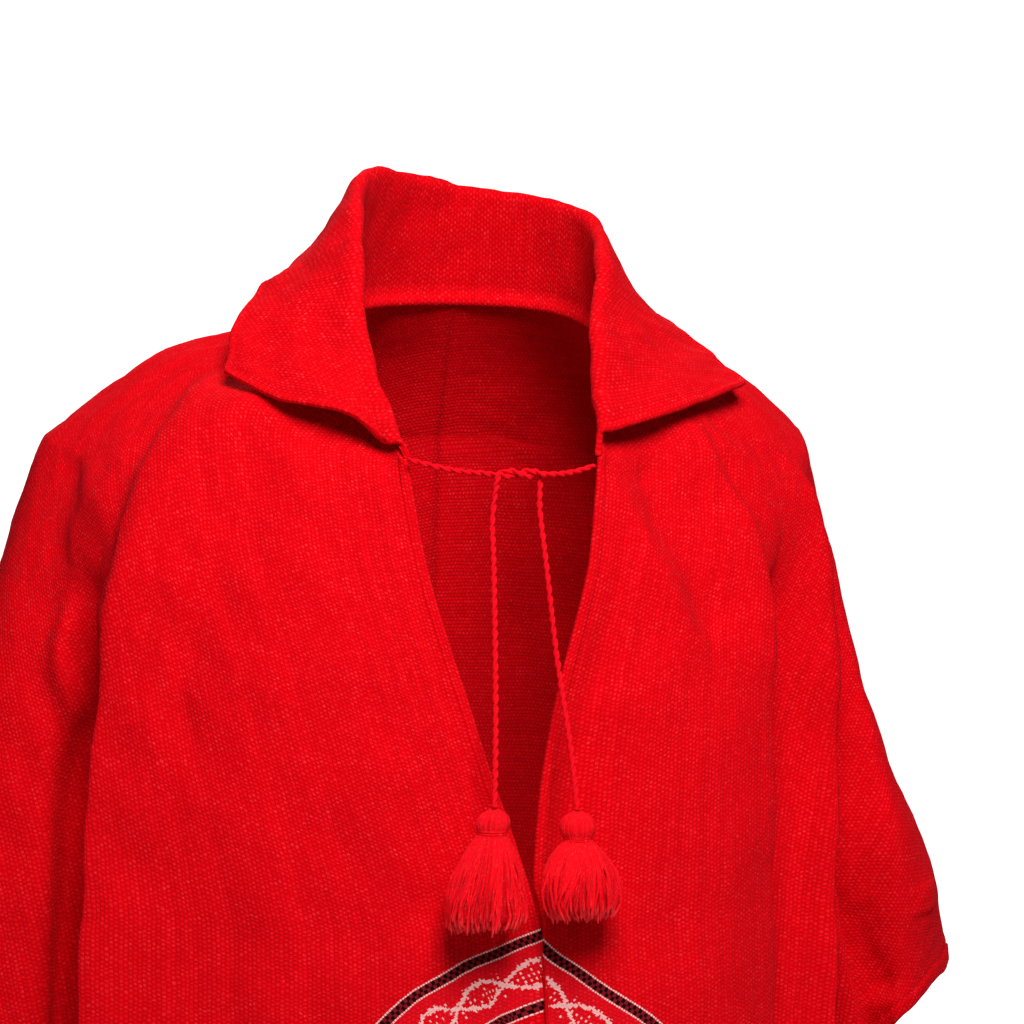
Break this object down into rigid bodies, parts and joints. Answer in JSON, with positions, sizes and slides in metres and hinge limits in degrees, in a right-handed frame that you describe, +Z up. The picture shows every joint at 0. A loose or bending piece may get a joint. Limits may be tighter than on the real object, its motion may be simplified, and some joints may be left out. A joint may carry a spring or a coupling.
{
  "type": "andean poncho",
  "caption": "Woven wool poncho in its worn form: fold-over collar, open front slit, twisted tie cord with tassels, and patterned bands across the chest.",
  "frame": {"origin": "middle of the base of the neck opening, where the garment hangs from the wearer's shoulders", "axes": "+Z up, the front with the slit faces -Y, +X towards the wearer's left"},
  "size_m": [0.5584, 0.3059, 0.8519],
  "materials": {
    "panel_wearer_right": "plain-woven wool with a soft nap",
    "panel_wearer_left": "plain-woven wool with a soft nap",
    "collar": "plain-woven wool with a soft nap",
    "tie_cord_right": "two-ply twisted yarn",
    "tie_cord_left": "two-ply twisted yarn",
    "tassel_right": "loose two-ply wool yarn",
    "tassel_left": "loose two-ply wool yarn"
  },
  "bodies": {
    "root": {"panel_wearer_right": "panel_wearer_right", "panel_wearer_left": "panel_wearer_left", "collar": "collar", "tie_cord_right": "tie_cord_right", "tie_cord_left": "tie_cord_left", "tassel_right": "tassel_right", "tassel_left": "tassel_left"}
  },
  "joints": []
}
